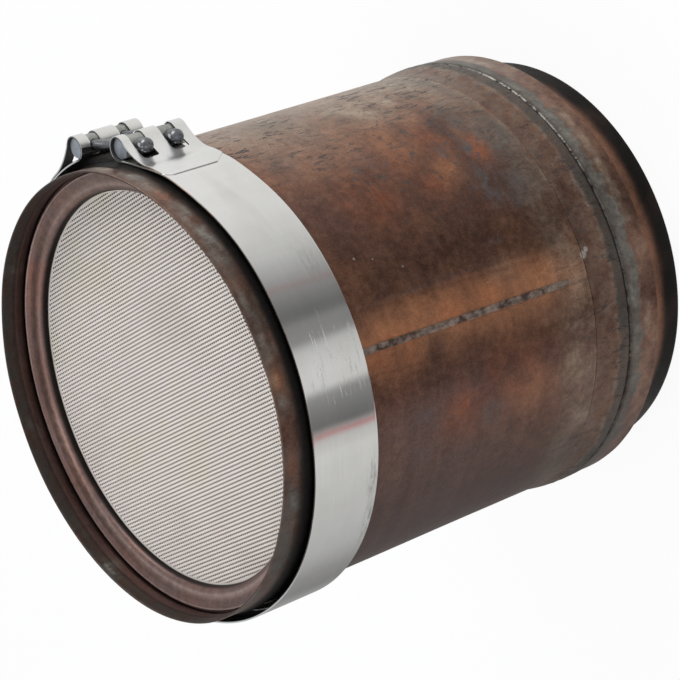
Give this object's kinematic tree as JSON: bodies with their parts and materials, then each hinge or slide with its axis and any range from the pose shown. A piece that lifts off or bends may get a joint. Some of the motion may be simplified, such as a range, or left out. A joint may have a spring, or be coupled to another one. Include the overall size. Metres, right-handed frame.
{
  "type": "diesel particulate filter",
  "caption": "Round steel exhaust filter can with a ceramic honeycomb between its flanged ends, and a wide strap clamp on the inlet end.",
  "frame": {"origin": "centre of the outlet's end edge, on the can's axis", "axes": "+Z along the can's axis from the outlet to the inlet; the clamp's latch lies midway between +X and +Y"},
  "size_m": [0.3193, 0.3193, 0.36],
  "materials": {
    "heat_tinted_steel": "stainless sheet, heat-tinted copper brown with rust and soot",
    "strap_steel": "bright rolled stainless, scratched",
    "bar_steel": "satin turned steel, blue-grey",
    "bolt_steel": "dark grey plated steel, smooth",
    "ceramic": "bare extruded ceramic honeycomb",
    "fibre_mat": "pressed ceramic fibre"
  },
  "bodies": {
    "root": {"outer_shell": "heat_tinted_steel", "inner_can": "heat_tinted_steel", "inlet_flange": "heat_tinted_steel", "outlet_collar": "heat_tinted_steel", "outlet_pilot_ring": "heat_tinted_steel", "inlet_retaining_ring": "heat_tinted_steel", "outlet_retaining_ring": "heat_tinted_steel", "support_mat": "fibre_mat", "filter_brick": "ceramic", "clamp_band": "strap_steel", "v_retainer_1": "strap_steel", "v_retainer_2": "strap_steel", "v_retainer_3": "strap_steel", "nut_end_bar": "bar_steel", "bolt_end_bar": "bar_steel", "clamp_bolt_front": "bolt_steel", "clamp_bolt_rear": "bolt_steel", "domed_nut_front": "bolt_steel", "domed_nut_rear": "bolt_steel"}
  },
  "joints": []
}
